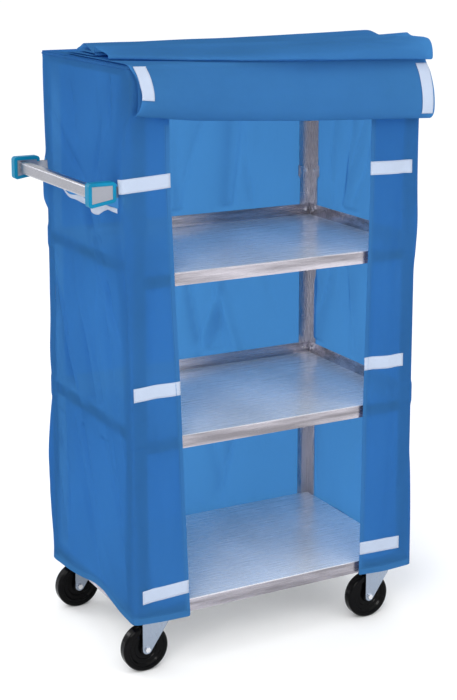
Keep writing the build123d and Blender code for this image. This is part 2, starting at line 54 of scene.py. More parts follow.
shelf_lo, shelf_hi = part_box("bottom_shelf")
MID = np.array([(shelf_lo.x + shelf_hi.x) / 2, (shelf_lo.y + shelf_hi.y) / 2, 0.0])
left_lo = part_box("cover_left")[0]
right_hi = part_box("cover_right")[1]
back_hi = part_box("cover_back")[1]
top_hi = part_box("cover_top")[1]
HALF_W = (right_hi.x - left_lo.x) / 2
HALF_D = (back_hi.y - left_lo.y) / 2
TOP = top_hi.z
HEM = left_lo.z
SIDE = 2 * HALF_D
WIDE = 2 * HALF_W


def smooth(t):
    t = np.clip(t, 0.0, 1.0)
    return t * t * (3 - 2 * t)


def hill(v, start, peak_a, peak_b, end):
    """Smooth bump: 0 at start, 1 from peak_a to peak_b, 0 at end."""
    return smooth((v - start) / (peak_a - start)) * (1 - smooth((v - peak_b) / (end - peak_b)))


def knots(v, table):
    """Smooth curve through (place, height) pairs."""
    xs = np.array([k[0] for k in table])
    ys = np.array([k[1] for k in table])
    i = np.clip(np.searchsorted(xs, v) - 1, 0, len(xs) - 2)
    t = np.clip((v - xs[i]) / (xs[i + 1] - xs[i]), 0, 1)
    slope = np.gradient(ys, xs)
    h = xs[i + 1] - xs[i]
    a, b = ys[i], ys[i + 1]
    m, n = slope[i] * h, slope[i + 1] * h
    return (
        a * (2 * t**3 - 3 * t**2 + 1)
        + m * (t**3 - 2 * t**2 + t)
        + b * (3 * t**2 - 2 * t**3)
        + n * (t**3 - t**2)
    )


def ripple(u, v, scale, seed):
    """Gentle Perlin noise over a sheet."""
    out = np.empty(u.shape)
    for k in np.ndindex(u.shape):
        out[k] = noise.noise(Vector((u[k] / scale[0], v[k] / scale[1], seed)))
    return out


def to_mesh(name, points, faces, uv):
    """Mesh object from local points, with one UV, in metres, for each point."""
    mesh = bpy.data.meshes.new(name)
    mesh.from_pydata([tuple(p) for p in points], [], faces)
    layer = mesh.uv_layers.new(name="cloth")
    loops = np.zeros(len(mesh.loops), np.int32)
    mesh.loops.foreach_get("vertex_index", loops)
    layer.data.foreach_set("uv", np.asarray(uv, np.float32)[loops].ravel())
    mesh.shade_smooth()
    made = bpy.data.objects.new(name, mesh)
    scene.collection.objects.link(made)
    return made


def strip_faces(rows, cols, keep=None):
    faces = []
    for r in range(rows - 1):
        for c in range(cols - 1):
            if keep is None or keep[r, c]:
                a = r * cols + c
                faces.append((a, a + 1, a + cols + 1, a + cols))
    return faces


def baked(piece):
    """Apply the piece's modifiers, so that what shows is its own mesh."""
    depsgraph = bpy.context.evaluated_depsgraph_get()
    mesh = bpy.data.meshes.new_from_object(piece.evaluated_get(depsgraph))
    piece.modifiers.clear()
    piece.data = mesh
    mesh.shade_smooth()
    return piece


def subdivided(piece, levels=1):
    changed = piece.modifiers.new("rounding", "SUBSURF")
    changed.levels = levels
    changed.render_levels = levels
    return baked(piece)


def thickened(piece, thickness, side=-1.0):
    shell = piece.modifiers.new("cloth", "SOLIDIFY")
    shell.thickness = thickness
    shell.offset = side
    return baked(piece)


# ---- Materials

STITCH_PITCH = 0.0045
STITCH_HALF_WIDTH = 0.0006
GAP_SHARE = -0.35  # a stitch shows where its sine wave is above this
STITCH_INSET = 0.0022
NYLON_PITCH = 0.0016
TAPE_PITCH = 0.0022


def shade(tone, factor):
    return tuple(min(1.0, c * factor) for c in tone)


class Shader:
    """A small helper for node materials."""

    def __init__(self, name):
        self.material = bpy.data.materials.new(name)
        self.material.use_nodes = True
        self.tree = self.material.node_tree
        self.bsdf = self.tree.nodes["Principled BSDF"]
        self.out = self.tree.nodes["Material Output"]

    def node(self, kind, links=(), **values):
        made = self.tree.nodes.new(kind)
        for key, value in values.items():
            if hasattr(made, key):
                setattr(made, key, value)
            else:
                made.inputs[key.replace("_", " ")].default_value = value
        for socket, source in links:
            self.tree.links.new(source, made.inputs[socket])
        return made

    def put(self, socket, value):
        if isinstance(value, bpy.types.NodeSocket):
            self.tree.links.new(value, self.bsdf.inputs[socket])
        else:
            self.bsdf.inputs[socket].default_value = value

    def coords(self, scale, kind="Object"):
        place = self.node("ShaderNodeTexCoord")
        mapping = self.node("ShaderNodeMapping", [("Vector", place.outputs[kind])])
        mapping.inputs["Scale"].default_value = scale
        return mapping.outputs["Vector"]

    def noise(self, scale, detail=2.0, roughness=0.5, kind="Object"):
        found = self.node("ShaderNodeTexNoise", [("Vector", self.coords(scale, kind))])
        found.inputs["Scale"].default_value = 1.0
        found.inputs["Detail"].default_value = detail
        found.inputs["Roughness"].default_value = roughness
        return found.outputs["Fac"]

    def spread(self, source, low, high, from_low=0.3, from_high=0.7):
        ranged = self.node("ShaderNodeMapRange", [("Value", source)])
        ranged.inputs["From Min"].default_value = from_low
        ranged.inputs["From Max"].default_value = from_high
        ranged.inputs["To Min"].default_value = low
        ranged.inputs["To Max"].default_value = high
        return ranged.outputs["Result"]

    def blend(self, factor, first, second):
        mix = self.node("ShaderNodeMix", data_type="RGBA")
        self.tree.links.new(factor, mix.inputs[0])
        for k, colour in ((6, first), (7, second)):
            if isinstance(colour, bpy.types.NodeSocket):
                self.tree.links.new(colour, mix.inputs[k])
            else:
                mix.inputs[k].default_value = (*colour, 1.0)
        return mix.outputs[2]

    def bump(self, height, strength, distance):
        made = self.node("ShaderNodeBump", [("Height", height)])
        made.inputs["Strength"].default_value = strength
        made.inputs["Distance"].default_value = distance
        self.tree.links.new(made.outputs["Normal"], self.bsdf.inputs["Normal"])
        return made.outputs["Normal"]

    def mixed(self, share, first, second):
        """Mix of two shader nodes, with this share of the second."""
        mix = self.node("ShaderNodeMixShader")
        mix.inputs[0].default_value = share
        self.tree.links.new(first.outputs[0], mix.inputs[1])
        self.tree.links.new(second.outputs[0], mix.inputs[2])
        return mix

    def math(self, operation, a, b=None):
        made = self.node("ShaderNodeMath", operation=operation)
        for k, value in enumerate((a, b)):
            if isinstance(value, bpy.types.NodeSocket):
                self.tree.links.new(value, made.inputs[k])
            elif value is not None:
                made.inputs[k].default_value = value
        return made.outputs[0]


def weave(shader, pitch):
    """Plain weave from the sheet's own coordinates: height of the yarns, 0 to 1."""
    place = shader.node("ShaderNodeTexCoord")
    split = shader.node("ShaderNodeSeparateXYZ", [("Vector", place.outputs["UV"])])
    turns = 2 * math.pi / pitch
    across = shader.math("SINE", shader.math("MULTIPLY", split.outputs["X"], turns))
    along = shader.math("SINE", shader.math("MULTIPLY", split.outputs["Y"], turns))
    product = shader.math("MULTIPLY", across, along)
    return shader.math("MULTIPLY_ADD", product, 0.5)


def stitches(shader, at):
    """A dashed line along a band's own coordinates: 1 on a stitch and 0 elsewhere."""
    place = shader.node("ShaderNodeTexCoord")
    split = shader.node("ShaderNodeSeparateXYZ", [("Vector", place.outputs["UV"])])
    wave = shader.math("SINE", shader.math("MULTIPLY", split.outputs["X"], 2 * math.pi / STITCH_PITCH))
    on_stitch = shader.math("GREATER_THAN", wave, GAP_SHARE)
    off = shader.math("ABSOLUTE", shader.math("SUBTRACT", split.outputs["Y"], at))
    return shader.math("MULTIPLY", on_stitch, shader.math("LESS_THAN", off, STITCH_HALF_WIDTH))


def nylon(name, tone, lit, through, clear, stitch=None):
    """Thin woven nylon: lit is the colour of the light that comes through, clear the share of open weave.

    stitch is how far from the band's lower edge its line of stitches runs, for a hem.
    """
    s = Shader(name)
    patchy = s.noise((5.0, 5.0, 3.0), 4.0)
    fine = s.noise((60.0, 60.0, 60.0), 3.0, 0.6)
    open_tone = (0.10, 0.36, 0.72)
    body = s.blend(s.spread(patchy, 0.0, 1.0), shade(tone, 0.93), shade(tone, 1.06))
    thread = s.blend(s.spread(fine, 0.0, 0.2), body, shade(tone, 1.2))
    if stitch is not None:
        thread = s.blend(stitches(s, stitch), thread, shade(tone, 0.45))
    s.put("Base Color", thread)
    s.put("Roughness", s.spread(fine, 0.50, 0.64))
    s.put("Specular IOR Level", 0.0)
    yarns = weave(s, NYLON_PITCH)
    normal = s.bump(s.math("ADD", s.math("MULTIPLY", yarns, 0.6), fine), 0.2, 0.0005)
    glow_tone = s.blend(s.spread(patchy, 0.0, 1.0), shade(lit, 0.95), lit)
    glow = s.node("ShaderNodeBsdfTranslucent", [("Color", glow_tone), ("Normal", normal)])
    cloth = s.mixed(through, s.bsdf, glow)
    gaps = s.node("ShaderNodeBsdfTransparent", Color=(*open_tone, 1.0))
    veil = s.mixed(clear, cloth, gaps)
    s.tree.links.new(veil.outputs[0], s.out.inputs["Surface"])
    return s.material


def tape(name, tone):
    """White hook-and-loop tape: a fuzzy pile over a coarse weave."""
    s = Shader(name)
    fuzz = s.noise((420.0, 420.0, 420.0), 3.0, 0.7)
    broad = s.noise((18.0, 18.0, 18.0), 2.0)
    body = s.blend(s.spread(broad, 0.0, 1.0), shade(tone, 0.93), tone)
    s.put("Base Color", s.blend(s.spread(fuzz, 0.0, 0.4), body, shade(tone, 0.78)))
    s.put("Roughness", 0.85)
    s.put("Sheen Weight", 0.2)
    s.put("Specular IOR Level", 0.25)
    s.bump(s.math("ADD", s.math("MULTIPLY", weave(s, TAPE_PITCH), 0.5), fuzz), 0.5, 0.0008)
    return s.material


def brushed(name, tone, grain, low, high, metallic=1.0):
    """Brushed or drawn metal: grain is the texture's scale along x, y and z."""
    s = Shader(name)
    lines = s.noise(grain, 4.0, 0.65)
    clouds = s.noise((7.0, 7.0, 7.0), 3.0)
    s.put("Base Color", s.blend(s.spread(clouds, 0.0, 1.0), shade(tone, 0.90), tone))
    s.put("Metallic", metallic)
    wear = s.math("ADD", s.math("MULTIPLY", lines, 0.6), s.math("MULTIPLY", clouds, 0.4))
    s.put("Roughness", s.spread(wear, low, high))
    s.bump(lines, 0.12, 0.0004)
    return s.material


def shelf_steel(name, lit_top_tone, shaded_lip_tone):
    """Sheet steel for shelves: the level faces painted brighter, as if lit from above, with broad darker
    patches; the upright lips painted darker, as if in shade, with streaks of painted reflection.
    """
    s = Shader(name)
    place = s.node("ShaderNodeTexCoord")
    split = s.node("ShaderNodeSeparateXYZ", [("Vector", place.outputs["Normal"])])
    # level is 1 on faces that point up or down and 0 on upright faces; it chooses between the painted lit
    # and painted shaded tones below
    level = s.spread(s.math("ABSOLUTE", split.outputs["Z"]), 0.0, 1.0, 0.5, 0.8)
    broad = s.noise((2.6, 1.3, 1.0), 2.0)
    lengths = s.noise((2.2, 9.0, 30.0), 4.0, 0.6)
    grain = s.noise((7.0, 420.0, 420.0), 4.0, 0.65)
    # painted highlight: the level faces get a much brighter tone than the lips, as if lit from above, varied
    # by broad darker patches
    painted_lit_top = s.blend(s.spread(broad, 0.0, 1.0, 0.36, 0.64), shade(lit_top_tone, 0.72), lit_top_tone)
    # painted shade: the upright lips get a darker tone, with dark streaks that are painted reflection
    painted_shaded_lip = s.blend(s.spread(lengths, 0.0, 1.0, 0.38, 0.62), shade(shaded_lip_tone, 0.42), shaded_lip_tone)
    s.put("Base Color", s.blend(level, painted_shaded_lip, painted_lit_top))
    s.put("Metallic", s.spread(level, 0.85, 0.45, 0.0, 1.0))
    s.put("Roughness", s.spread(grain, 0.20, 0.34))
    s.bump(grain, 0.22, 0.0004)
    return s.material


def moulded(name, tone, low, high, coat, grain=160.0, strength=0.15, specular=0.5):
    """Moulded plastic or rubber: fine pores, and scuffs that vary its tone and roughness."""
    s = Shader(name)
    pores = s.noise((grain, grain, grain), 3.0)
    scuffs = s.noise((24.0, 24.0, 24.0), 4.0, 0.6)
    s.put("Base Color", s.blend(s.spread(scuffs, 0.0, 1.0), shade(tone, 0.88), shade(tone, 1.08)))
    s.put("Roughness", s.spread(scuffs, low, high))
    s.put("Specular IOR Level", specular)
    s.put("Coat Weight", coat)
    s.put("Coat Roughness", 0.12)
    s.bump(pores, strength, 0.0003)
    return s.material


BLUE = (0.044, 0.172, 0.385)
BLUE_LIT = (0.070, 0.295, 0.700)
# the first colour is the painted lit tone of the shelf tops, the second the painted shaded tone of the
# upright lips
steel_sheet = shelf_steel("stainless_sheet", (0.97, 0.98, 0.99), (0.52, 0.49, 0.54))
steel_post = brushed("stainless_post", (0.46, 0.45, 0.49), (260.0, 260.0, 3.0), 0.16, 0.40, 0.95)
steel_bar = brushed("stainless_bar", (0.36, 0.36, 0.40), (420.0, 6.0, 420.0), 0.20, 0.38)
bright_bolt = brushed("bright_plating", (0.74, 0.74, 0.76), (300.0, 300.0, 300.0), 0.16, 0.30)
zinc = brushed("zinc_plating", (0.32, 0.37, 0.45), (60.0, 60.0, 14.0), 0.14, 0.38)
turned = brushed("turned_steel", (0.52, 0.52, 0.54), (200.0, 900.0, 200.0), 0.25, 0.40)
casting = brushed("satin_casting", (0.31, 0.32, 0.36), (520.0, 520.0, 520.0), 0.36, 0.58)
teal = moulded("teal_elastomer", (0.001, 0.170, 0.31), 0.40, 0.56, 0.0, specular=0.12)
black = moulded("polished_black", (0.0018, 0.0018, 0.0022), 0.08, 0.20, 0.0, 90.0, 0.05, specular=0.08)
cloth_blue = nylon("blue_nylon", BLUE, BLUE_LIT, 0.45, 0.20)
curtain_blue = nylon("blue_nylon_curtain", BLUE, BLUE_LIT, 0.34, 0.04)
HEM_W, EDGE_W = 0.020, 0.013
HEM_BLUE = shade(BLUE, 0.92)
hem_blue = nylon("blue_nylon_hem", HEM_BLUE, BLUE_LIT, 0.30, 0.0, HEM_W - STITCH_INSET)
edge_blue = nylon("blue_nylon_edge", HEM_BLUE, BLUE_LIT, 0.30, 0.0, EDGE_W - STITCH_INSET)
white_tape = tape("white_tape", (0.41, 0.475, 0.60))

SLOT_MATERIALS = {
    "fastener_steel": bright_bolt,
    "zinc_plate": zinc,
    "bush_steel": turned,
    "cast_metal": casting,
    "teal_bumper": teal,
    "wheel_black": black,
    "blue_nylon": cloth_blue,
    "white_tape": white_tape,
}
node_slots = {p["node"]: p["material_slot"] for p in frame["record"]["subparts"]}
for node_name, node in frame["nodes"].items():
    finish = SLOT_MATERIALS.get(node_slots[node_name])
    if finish is None:
        finish = steel_sheet
        if "post" in node_name or node_name == "splice_angles":
            finish = steel_post
        if node_name in ("handle_bar", "top_rail_left", "top_rail_right"):
            finish = steel_bar
    node.data.materials.clear()
    node.data.materials.append(finish)

# ---- Cover: one sheet from the left door edge round the sides and back to the right door edge

# Height and local x of each door edge; then place round the wall and height of the hem
LEFT_FLAP = [(0.146, -0.267), (0.638, -0.288), (1.070, -0.307), (1.285, -0.316), (1.588, -0.318)]
RIGHT_FLAP = [(0.152, 0.255), (0.700, 0.262), (1.303, 0.271), (1.588, 0.272)]
BACK_LEFT = SIDE
BACK_RIGHT = SIDE + WIDE
FRONT_RIGHT = 2 * SIDE + WIDE
HEM_LINE = [
    (-0.163, 0.146), (-0.080, 0.148), (0.0, 0.154), (0.084, 0.160), (0.200, 0.175),
    (0.245, 0.175), (0.340, 0.159), (0.448, 0.145), (0.556, 0.139), (0.760, 0.152),
    (0.980, 0.147), (1.200, 0.156), (1.416, 0.149), (1.600, 0.160), (1.780, 0.148),
    (1.972, 0.150), (2.060, 0.147), (2.150, 0.152),
]
# Local y along the left side, with the height of the slot's edges and the depth of its white facing
SLOT_LOW = [(-0.262, 1.240), (-0.201, 1.238), (-0.156, 1.232), (-0.032, 1.222), (0.008, 1.230),
            (0.108, 1.226), (0.142, 1.240), (0.262, 1.246)]
SLOT_HIGH = [(-0.262, 1.300), (-0.232, 1.299), (-0.195, 1.268), (-0.080, 1.262), (0.060, 1.264),
             (0.195, 1.266), (0.232, 1.297), (0.262, 1.300)]
FACING = [(-0.262, 0.013), (-0.190, 0.011), (-0.135, 0.015), (-0.085, 0.025), (-0.010, 0.022),
          (0.060, 0.012), (0.120, 0.007), (0.262, 0.005)]
SLOT_LOW_Z = 1.232
SLOT_HIGH_Z = 1.264
SLOT_END = 0.262

# Creases and swells as (place from, height from, place to, height to, rise, half width, bow)
LEFT_FOLDS = [
    (0.295, 1.225, 0.110, 0.960, -0.0080, 0.012, -0.05),
    (0.275, 1.180, 0.085, 0.860, 0.0060, 0.024, -0.05),
    (0.510, 1.445, 0.250, 1.262, -0.0060, 0.013, 0.04),
    (0.470, 1.480, 0.300, 1.330, 0.0045, 0.024, 0.03),
    (0.505, 0.960, 0.330, 0.600, -0.0085, 0.018, 0.06),
    (0.455, 1.060, 0.280, 0.640, 0.0070, 0.030, 0.06),
    (0.315, 0.900, 0.170, 0.540, -0.0080, 0.018, 0.05),
    (0.350, 1.090, 0.200, 0.760, 0.0060, 0.024, 0.04),
    (0.225, 0.860, 0.090, 0.420, -0.0060, 0.014, 0.05),
    (0.270, 0.620, 0.110, 0.260, 0.0060, 0.026, 0.04),
    (0.400, 0.640, 0.240, 0.300, -0.0055, 0.022, 0.04),
    (0.540, 1.150, 0.400, 0.700, -0.0060, 0.012, 0.05),
    (0.420, 0.930, 0.245, 0.430, -0.0070, 0.013, 0.05),
    (0.260, 1.200, 0.150, 0.980, -0.0060, 0.009, 0.05),
    (0.190, 1.190, 0.060, 0.900, -0.0055, 0.009, 0.06),
    (0.530, 0.520, 0.430, 0.200, -0.0050, 0.012, 0.03),
    (0.120, 0.620, 0.040, 0.230, -0.0045, 0.011, 0.03),
    (0.150, 1.000, 0.050, 0.560, -0.0050, 0.012, 0.03),
    (0.190, 1.030, 0.105, 0.640, 0.0050, 0.020, 0.03),
    (0.480, 0.700, 0.420, 0.280, -0.0045, 0.024, 0.0),
    (0.350, 0.460, 0.200, 0.190, -0.0045, 0.020, 0.0),
    (0.145, 1.450, 0.212, 1.270, -0.0055, 0.011, 0.05),
    (0.095, 1.430, 0.165, 1.280, 0.0045, 0.018, 0.03),
    (0.108, 1.550, 0.098, 1.440, -0.0060, 0.007, 0.0),
    (0.085, 1.545, 0.070, 1.430, 0.0050, 0.011, 0.0),
    (0.160, 1.540, 0.140, 1.380, 0.0040, 0.020, 0.0),
    (0.360, 1.520, 0.330, 1.360, -0.0035, 0.020, 0.0),
    (0.020, 1.562, 0.540, 1.562, -0.0020, 0.005, 0.0),
    (0.500, 1.300, 0.505, 1.160, 0.0120, 0.060, 0.0),
    (0.060, 1.210, 0.300, 1.195, -0.0045, 0.014, 0.08),
    (0.030, 1.180, 0.230, 1.140, 0.0050, 0.016, 0.05),
]
FLAP_FOLDS = [
    (-0.060, 1.260, -0.045, 0.800, 0.0030, 0.020, 0.02),
    (-0.090, 1.100, -0.085, 0.420, -0.0030, 0.022, 0.03),
    (-0.125, 0.900, -0.115, 0.300, 0.0030, 0.022, 0.0),
    (-0.030, 0.700, -0.060, 0.200, -0.0030, 0.018, 0.0),
    (2.010, 1.400, 2.040, 0.900, -0.0035, 0.020, 0.0),
    (2.060, 1.300, 2.050, 0.600, 0.0030, 0.022, 0.02),
    (2.020, 0.800, 2.060, 0.250, -0.0030, 0.018, 0.0),
    (2.110, 1.100, 2.115, 0.500, -0.0025, 0.020, 0.0),
]


def random_folds(rng, start, end, count, strength):
    """Long soft creases that hang mostly downwards, for a panel that the frame holds at its corners."""
    made = []
    for _ in range(count):
        s = rng.uniform(start + 0.03, end - 0.03)
        low = rng.uniform(0.16, 1.15)
        length = rng.uniform(0.25, 0.75)
        lean = rng.uniform(-0.16, 0.16)
        rise = strength * rng.choice((-1, 1)) * rng.uniform(0.003, 0.008)
        width = rng.uniform(0.012, 0.036)
        made.append((s, min(low + length, 1.53), s + lean, low, rise, width, rng.uniform(-0.06, 0.06)))
    return made


CREASE, SWELL = 2.5, 1.5  # how many times their listed size the valleys and the ridges are made
chance = random.Random(11)
FOLDS = (
    LEFT_FOLDS
    + FLAP_FOLDS
    + random_folds(chance, BACK_LEFT, BACK_RIGHT, 34, 1.7)
    + random_folds(chance, BACK_RIGHT, FRONT_RIGHT, 22, 1.4)
)


def fold_rise(s, z):
    """Ridges are round and valleys are sharp."""
    total = np.zeros(s.shape)
    for s0, z0, s1, z1, rise, width, bow in FOLDS:
        ds, dz = s1 - s0, z1 - z0
        length = math.hypot(ds, dz)
        us, uz = ds / length, dz / length
        t = ((s - s0) * us + (z - z0) * uz) / length
        off = (s - s0) * uz - (z - z0) * us
        off = off + bow * length * 4 * np.clip(t, 0, 1) * (1 - np.clip(t, 0, 1))
        end = np.clip(t, -0.2, 1.2)
        taper = np.clip(smooth((end + 0.15) / 0.4) * smooth((1.15 - end) / 0.4), 0, 1)
        if rise < 0:
            total += CREASE * rise * taper * np.exp(-np.abs(off) / (0.8 * width))
        else:
            total += SWELL * rise * taper * np.exp(-((off / width) ** 2))
    return total


def corner_distance(s):
    return np.min(np.abs(s[..., None] - np.array([0.0, BACK_LEFT, BACK_RIGHT, FRONT_RIGHT])), axis=-1)


POST_REACH = 0.046  # from a corner; the posts' legs reach 0.050, so one comes through the sheet
POST_FADE = 0.02
SPLICE_BAND = (1.165, 1.235)
CORNER_SCREW_LEVELS = (0.171, 0.655, 1.083, 1.572)
FRAME_BANDS = ((0.140, 0.205), (0.600, 0.690), (1.028, 1.118), (1.545, 1.600))


def room_inside(s, z):
    """The most that the sheet may go in at each place, less where the frame is close behind it."""
    at_post = 1 - smooth((corner_distance(s) - POST_REACH) / POST_FADE)
    post_room = np.where((z > SPLICE_BAND[0]) & (z < SPLICE_BAND[1]), 0.0020, 0.0065)
    for level in CORNER_SCREW_LEVELS:
        post_room = np.where(np.abs(z - level) < 0.030, 0.0038, post_room)
    open_room = np.full(s.shape, 0.030)
    for low, high in FRAME_BANDS:
        open_room = np.where((z > low) & (z < high), 0.0075, open_room)
    front = (s < 0) | (s > FRONT_RIGHT)
    open_room = np.where(front, np.minimum(open_room, 0.008), open_room)
    return at_post * post_room + (1 - at_post) * open_room


def corner_round(s):
    """Local x, y and outward normal at place s on the wall, with the corners rounded."""
    reach = 0.011
    taps = np.linspace(-reach, reach, 9)
    xy = np.zeros(s.shape + (2,))
    for tap in taps:
        xy += wall_xy(s + tap) / len(taps)
    tangent = wall_xy(s + 0.012) - wall_xy(s - 0.012)
    tangent /= np.linalg.norm(tangent, axis=-1, keepdims=True) + 1e-12
    return xy, np.stack([-tangent[..., 1], tangent[..., 0]], -1)


def wall_xy(s):
    x = np.where(s < 0, -HALF_W - s, -HALF_W)
    y = np.where(s < 0, -HALF_D, -HALF_D + s)
    on_back = s > BACK_LEFT
    x = np.where(on_back, -HALF_W + (s - BACK_LEFT), x)
    y = np.where(on_back, HALF_D, y)
    on_right = s > BACK_RIGHT
    x = np.where(on_right, HALF_W, x)
    y = np.where(on_right, HALF_D - (s - BACK_RIGHT), y)
    on_front = s > FRONT_RIGHT
    x = np.where(on_front, HALF_W - (s - FRONT_RIGHT), x)
    y = np.where(on_front, -HALF_D, y)
    return np.stack([x, y], -1)


def front_swell(s, z):
    """The top front left corner is drawn forward by the turned-up curtain."""
    return 0.026 * hill(z, 1.425, 1.500, 1.545, 1.586) * hill(s, -0.105, -0.035, 0.012, 0.085)


SIDE_SWELL = [
    (0.15, 0.0), (0.50, 0.0), (0.78, 0.003), (1.0, 0.010),
    (1.20, 0.019), (1.375, 0.018), (1.50, 0.004), (1.588, 0.0),
]


def side_swell(s, z):
    """The front left corner is pushed out round the handle's foot."""
    return knots(z, SIDE_SWELL) * hill(s, -0.110, -0.006, 0.030, 0.210)


def wall_point(s, z):
    """Local points of the cover's wall, with its folds."""
    xy, normal = corner_round(s)
    rise = fold_rise(s, z) + 0.0030 * ripple(s, z, (0.18, 0.40), 3.1)
    rise = rise + 0.0006 * ripple(s, z, (0.06, 0.15), 7.7)
    waist = -0.0065 * hill(z, 0.25, 0.72, 0.98, 1.17) * (1 - smooth(corner_distance(s) / 0.16))
    rise = (rise + waist) * (1 - smooth((z - 1.545) / 0.040))
    rise = np.maximum(rise, -room_inside(s, z))
    x = xy[..., 0] + normal[..., 0] * rise - side_swell(s, z)
    y = xy[..., 1] + normal[..., 1] * rise - front_swell(s, z)
    return np.stack([x, y, z], -1)


def flap_width(z, table, side):
    """Width at height z of the left flap, with side 1, or the right flap, with side -1."""
    return HALF_W + side * knots(z, table)


STEP = 0.0084  # the grid's spacing round the cover, before it is subdivided once
n_left, n_right = 14, 19
n_low, n_high = 130, 38
n_side = round(SIDE / STEP)
left_w = float(flap_width(np.array(TOP), LEFT_FLAP, 1))
right_w = float(flap_width(np.array(TOP), RIGHT_FLAP, -1))
x_left = -HALF_W + left_w * np.arange(n_left + 1) / n_left
x_right = HALF_W - right_w * np.arange(n_right + 1)[::-1] / n_right
n_door = round((x_right[0] - x_left[-1]) / STEP)
x_door = np.linspace(x_left[-1], x_right[0], n_door + 1)[1:-1]
top_x = np.concatenate([x_left, x_door, x_right])
top_y = np.linspace(-HALF_D, HALF_D, n_side + 1)
n_wide = len(top_x) - 1

place_list = [(-left_w * (1 - k / n_left)) for k in range(n_left)]
place_list += [SIDE * k / n_side for k in range(n_side)]
place_list += [BACK_LEFT + (x + HALF_W) for x in top_x[:-1]]
place_list += [BACK_RIGHT + SIDE * k / n_side for k in range(n_side)]
place_list += [FRONT_RIGHT + right_w * k / n_right for k in range(n_right + 1)]
places = np.array(place_list)
n_place = len(places)

low_rows = np.linspace(HEM, SLOT_LOW_Z, n_low)
slot_rows = np.array([SLOT_LOW_Z + (SLOT_HIGH_Z - SLOT_LOW_Z) * k / 3 for k in (1, 2)])
high_rows = np.concatenate([np.linspace(SLOT_HIGH_Z, TOP - 0.008, n_high), [TOP]])
row_z = np.concatenate([low_rows, slot_rows, high_rows])
low_row = len(low_rows) - 1
high_row = low_row + 3
n_row = len(row_z)

S = np.tile(places, (n_row, 1))
Z = np.tile(row_z[:, None], (1, n_place))
scale_left = flap_width(Z, LEFT_FLAP, 1) / left_w
scale_right = flap_width(Z, RIGHT_FLAP, -1) / right_w
S = np.where(S < 0, S * scale_left, S)
S = np.where(S > FRONT_RIGHT, FRONT_RIGHT + (S - FRONT_RIGHT) * scale_right, S)
Z = Z + (knots(S, HEM_LINE) - HEM) * smooth((0.60 - Z) / 0.45)
slot_y = S - HALF_D
in_slot = hill(slot_y, -SLOT_END - 0.02, -SLOT_END, SLOT_END, SLOT_END + 0.02)
low_shift = (knots(slot_y, SLOT_LOW) - SLOT_LOW_Z) * in_slot
high_shift = (knots(slot_y, SLOT_HIGH) - SLOT_HIGH_Z) * in_slot
below = np.exp(-(((row_z - SLOT_LOW_Z) / 0.06) ** 2))[:, None]
above = np.exp(-(((row_z - SLOT_HIGH_Z) / 0.09) ** 2))[:, None]
rows_index = np.arange(n_row)[:, None]
Z = Z + np.where(rows_index <= low_row, low_shift * below, 0)
Z = Z + np.where(rows_index >= high_row, high_shift * above, 0)

wall = wall_point(S, Z)
wall_uv = np.stack([S, Z], -1)
inside_slot = (slot_y[low_row] > -SLOT_END) & (slot_y[low_row] < SLOT_END)
keep = np.ones((n_row - 1, n_place - 1), bool)
for c in range(n_place - 1):
    if inside_slot[c] and inside_slot[c + 1]:
        keep[low_row:high_row, c] = False
cover_faces = strip_faces(n_row, n_place, keep)

points = [tuple(p) for p in wall.reshape(-1, 3)]
uvs = [tuple(p) for p in wall_uv.reshape(-1, 2)]
# The top shares its edge points with the wall's last row, and has its own points inside
top_index = np.full((n_wide + 1, n_side + 1), -1)
last = (n_row - 1) * n_place
for i in range(n_left + 1):
    top_index[i, 0] = last + n_left - i
for k in range(n_right + 1):
    top_index[n_wide - k, 0] = last + n_left + 2 * n_side + n_wide + k
for j in range(n_side + 1):
    top_index[0, j] = last + n_left + j
    top_index[n_wide, j] = last + n_left + 2 * n_side + n_wide - j
for i in range(n_wide + 1):
    top_index[i, n_side] = last + n_left + n_side + i
for i in range(n_wide + 1):
    for j in range(n_side + 1):
        if top_index[i, j] < 0:
            x, y = top_x[i], top_y[j]
            edge = min(HALF_W - abs(x), HALF_D - abs(y))
            dip = 1 + noise.noise(Vector((x / 0.2, y / 0.2, 5.5)))
            sag = 0.004 * float(smooth((edge - 0.03) / 0.15)) * dip
            top_index[i, j] = len(points)
            points.append((x, y, TOP - sag))
            uvs.append((x, 3.0 + y))
for i in range(n_wide):
    for j in range(n_side):
        near, far = top_index[i, j : j + 2], top_index[i + 1, j : j + 2]
        cover_faces.append((near[0], far[0], far[1], near[1]))

cover = to_mesh("fabric_cover", np.array(points) + MID, [tuple(int(v) for v in f) for f in cover_faces], uvs)
bpy.context.view_layer.objects.active = cover
cover.data.flip_normals()
subdivided(cover)
cover_tree = BVHTree.FromObject(cover, bpy.context.evaluated_depsgraph_get())


def outward(where):
    """Direction away from the cover's middle."""
    middle = Vector(MID) + Vector((0, 0, min(max(where.z, 0.3), 1.3)))
    return (where - middle).normalized()


def laid_on(tree, spots, lifts):
    """Move each point to lie its lift above the nearest place on a surface."""
    out = []
    for spot, lift in zip(spots, lifts):
        where, normal, _, _ = tree.find_nearest(Vector(spot))
        if normal.dot(outward(where)) < 0:
            normal = -normal
        out.append(tuple(where + normal * float(lift)))
    return np.array(out)


def band(name, s, z, uv, lift, finish, thickness=0.0):
    """Strip laid on the wall at the grid of places s and heights z."""
    spots = wall_point(s, z).reshape(-1, 3) + MID
    lifts = np.broadcast_to(lift, s.shape).ravel()
    made = to_mesh(name, laid_on(cover_tree, spots, lifts), strip_faces(*s.shape), uv.reshape(-1, 2))
    if thickness:
        thickened(made, thickness, 1.0)
    made.data.materials.append(finish)
    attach(made, "chassis")
    return made


def on_cover(name, s_values, z_of, height, lift, rows, finish, thickness=0.0008):
    """Strip along the wall: z_of gives its lower edge, and height its width, at each place."""
    s = np.tile(np.asarray(s_values)[None, :], (rows, 1))
    v = np.broadcast_to(height, s.shape) * np.linspace(0, 1, rows)[:, None]
    return band(name, s, z_of(s) + v, np.stack([s, v], -1), lift, finish, thickness)


TAPE_WIDTH, TAPE_LIFT = 0.036, 0.0006
